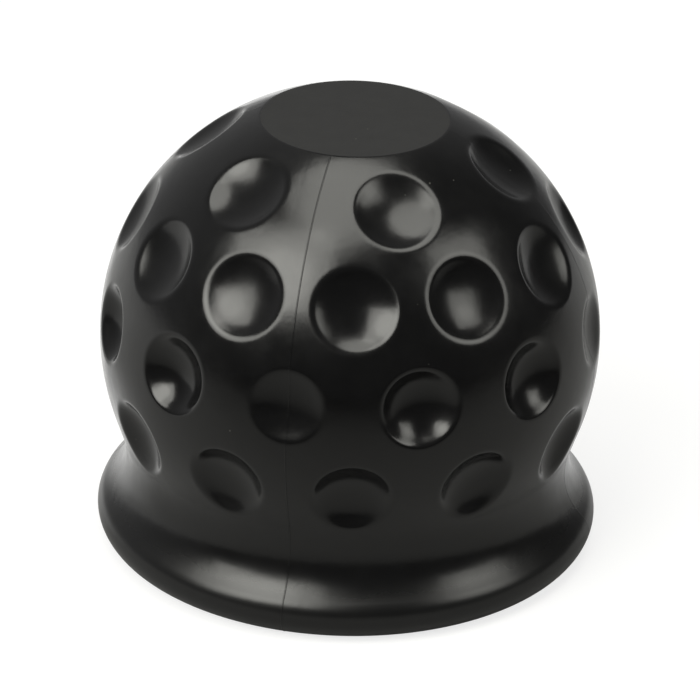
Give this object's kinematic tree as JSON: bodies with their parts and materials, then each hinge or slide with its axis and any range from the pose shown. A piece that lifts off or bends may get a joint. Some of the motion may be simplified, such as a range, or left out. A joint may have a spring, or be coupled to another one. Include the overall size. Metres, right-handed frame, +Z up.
{
  "type": "tow ball cover",
  "caption": "Soft moulded cap for a tow ball: dimpled dome with a flat round top, waisted neck, flared rim with a rounded bead, and a ball socket open at the base.",
  "frame": {"origin": "middle of the base, on the plane that the rim stands on", "axes": "+Z up along the axis of the dome and the socket, and -Y to the front"},
  "size_m": [0.0648, 0.0648, 0.0573],
  "materials": {
    "soft_pvc": "satin"
  },
  "bodies": {
    "root": {"tow_ball_cover": "soft_pvc"}
  },
  "joints": []
}
